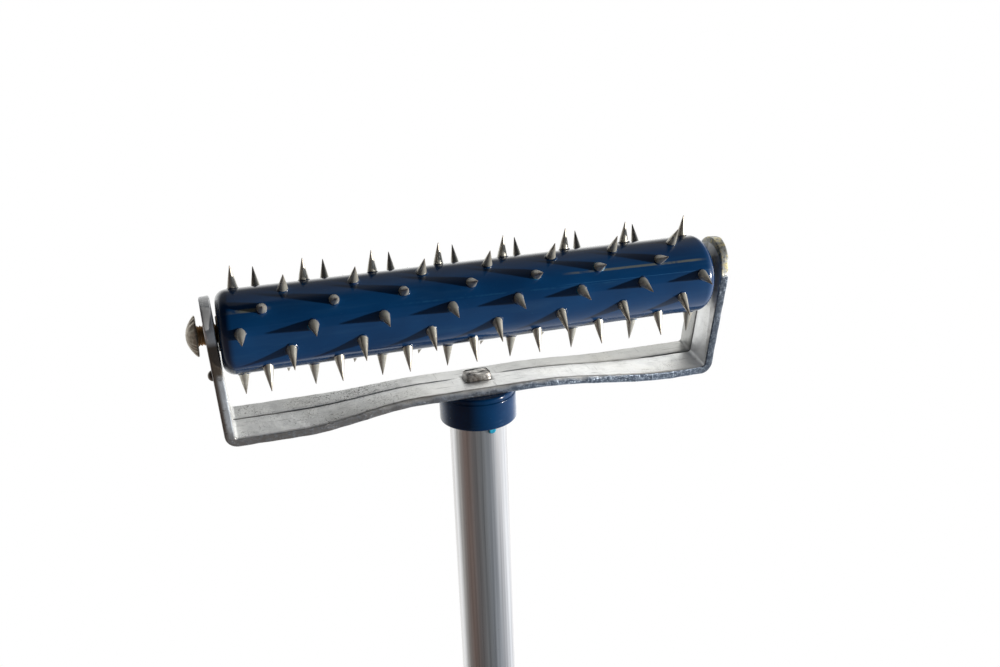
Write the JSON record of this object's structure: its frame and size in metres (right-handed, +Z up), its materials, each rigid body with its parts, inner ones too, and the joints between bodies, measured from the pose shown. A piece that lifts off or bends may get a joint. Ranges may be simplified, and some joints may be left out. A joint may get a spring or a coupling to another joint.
{
  "type": "spiked roller",
  "caption": "Hand-held spiked perforating roller: a moulded roller set with steel points turning in a bent flat-bar yoke riveted to a tube handle.",
  "frame": {"origin": "on the handle's centreline, in the middle of the hand grip", "axes": "+Z up along the handle towards the roller, +X along the roller axle away from its domed head, -Y the side the roller head leans to"},
  "size_m": [0.2324, 0.0526, 0.4023],
  "materials": {
    "blue_plastic": "gloss",
    "hub_plastic": "gloss",
    "spike_steel": "satin",
    "axle_steel": "satin",
    "yoke_steel": "satin",
    "rivet_steel": "satin",
    "spigot_steel": "satin",
    "collar_plastic": "gloss",
    "tube_aluminium": "satin",
    "grip_rubber": "matte",
    "cap_plastic": "matte"
  },
  "bodies": {
    "frame": {"yoke": "yoke_steel", "arm_rivet": "rivet_steel", "handle_spigot": "spigot_steel", "collar": "collar_plastic", "handle_tube": "tube_aluminium", "grip": "grip_rubber", "grip_cap": "cap_plastic", "axle": "axle_steel", "axle_nut": "axle_steel", "left_spacer": "axle_steel", "right_spacer": "axle_steel"},
    "roller": {"roller_shell": "blue_plastic", "left_hub": "hub_plastic", "right_hub": "hub_plastic", "spike_row_01": "spike_steel", "spike_row_02": "spike_steel", "spike_row_03": "spike_steel", "spike_row_04": "spike_steel", "spike_row_05": "spike_steel", "spike_row_06": "spike_steel", "spike_row_07": "spike_steel", "spike_row_08": "spike_steel", "spike_row_09": "spike_steel", "spike_row_10": "spike_steel", "spike_row_11": "spike_steel", "spike_row_12": "spike_steel"}
  },
  "joints": [
    {"name": "roller_spin", "type": "hinge", "parent": "frame", "child": "roller", "pos_m": [0, -0.00731, 0.29], "axis": [1, 0, 0], "continuous": true}
  ]
}
